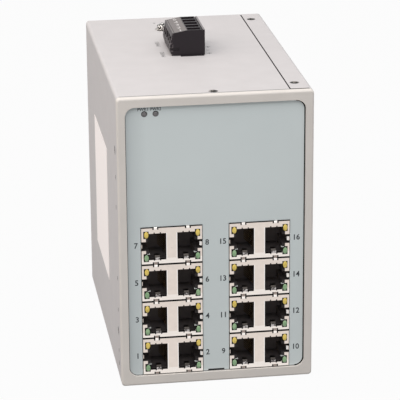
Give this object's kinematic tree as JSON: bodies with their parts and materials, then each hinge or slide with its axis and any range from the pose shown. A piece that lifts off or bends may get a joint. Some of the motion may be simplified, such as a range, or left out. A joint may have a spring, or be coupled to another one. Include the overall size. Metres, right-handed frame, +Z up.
{
  "type": "rail-mounted ethernet switch",
  "caption": "Folded steel box with columns of shielded network sockets on its narrow front, a plug-in screw terminal and earth screw on top, and a rail clip at the back.",
  "frame": {"origin": "centre of the case's flat underside", "axes": "+X to the right seen from the front, +Y from the front to the back, +Z up"},
  "size_m": [0.0872, 0.1456, 0.147],
  "materials": {
    "case_paint": "light warm grey powder coat, very fine texture",
    "bezel_paint": "slightly darker warm grey satin paint",
    "panel_paint": "grey paint, hidden behind the overlay",
    "overlay_film": "light blue-grey printed polyester film",
    "label_film": "white film label, blank",
    "shield_nickel": "bright nickel-plated sheet",
    "jack_plastic": "black moulding",
    "contact_gold": "gold-plated springs",
    "amber_lens": "clear amber light pipe, unlit",
    "green_lens": "clear green light pipe, unlit",
    "lamp_lens": "smoked round lamp, unlit",
    "terminal_plastic": "black moulding",
    "marker_grey": "grey marking strip",
    "pin_tin": "tin-plated pins",
    "screw_black": "dark oxide screws",
    "ground_nickel": "nickel-plated screw and washer",
    "zinc_steel": "zinc-plated steel",
    "spring_steel": "hardened strip",
    "clip_aluminium": "plain extruded aluminium",
    "sink_aluminium": "anodised aluminium",
    "board_laminate": "green circuit board",
    "chip_epoxy": "black epoxy",
    "capacitor_case": "film capacitor box",
    "relay_case": "blue relay box"
  },
  "bodies": {
    "root": {"amber_lenses": "amber_lens", "bezel_screws": "screw_black", "board_nuts": "zinc_steel", "board_spacers": "zinc_steel", "chassis_shell": "case_paint", "cover_screws": "screw_black", "dc_converter": "sink_aluminium", "din_plate": "clip_aluminium", "din_screws": "zinc_steel", "din_spring": "spring_steel", "fault_relay": "relay_case", "front_bezel": "bezel_paint", "front_overlay": "overlay_film", "front_panel": "panel_paint", "green_lenses": "green_lens", "ground_nut": "zinc_steel", "ground_screw": "ground_nickel", "ground_washer": "ground_nickel", "header_pins": "pin_tin", "heatsinks": "sink_aluminium", "jack_housing_1": "jack_plastic", "jack_housing_2": "jack_plastic", "jack_housing_3": "jack_plastic", "jack_housing_4": "jack_plastic", "jack_housing_5": "jack_plastic", "jack_housing_6": "jack_plastic", "jack_housing_7": "jack_plastic", "jack_housing_8": "jack_plastic", "jack_shield_1": "shield_nickel", "jack_shield_2": "shield_nickel", "jack_shield_3": "shield_nickel", "jack_shield_4": "shield_nickel", "jack_shield_5": "shield_nickel", "jack_shield_6": "shield_nickel", "jack_shield_7": "shield_nickel", "jack_shield_8": "shield_nickel", "lamp_holder": "jack_plastic", "left_contacts": "contact_gold", "link_card": "board_laminate", "link_sockets": "jack_plastic", "main_board": "board_laminate", "port_board": "board_laminate", "port_transformers": "chip_epoxy", "power_capacitors": "capacitor_case", "power_inductors": "chip_epoxy", "power_lamps": "lamp_lens", "right_contacts": "contact_gold", "side_cover": "case_paint", "side_label": "label_film", "switch_chips": "chip_epoxy", "terminal_clamps": "zinc_steel", "terminal_header": "terminal_plastic", "terminal_marker": "marker_grey", "terminal_plug": "terminal_plastic", "wall_standoffs": "zinc_steel"}
  },
  "joints": []
}
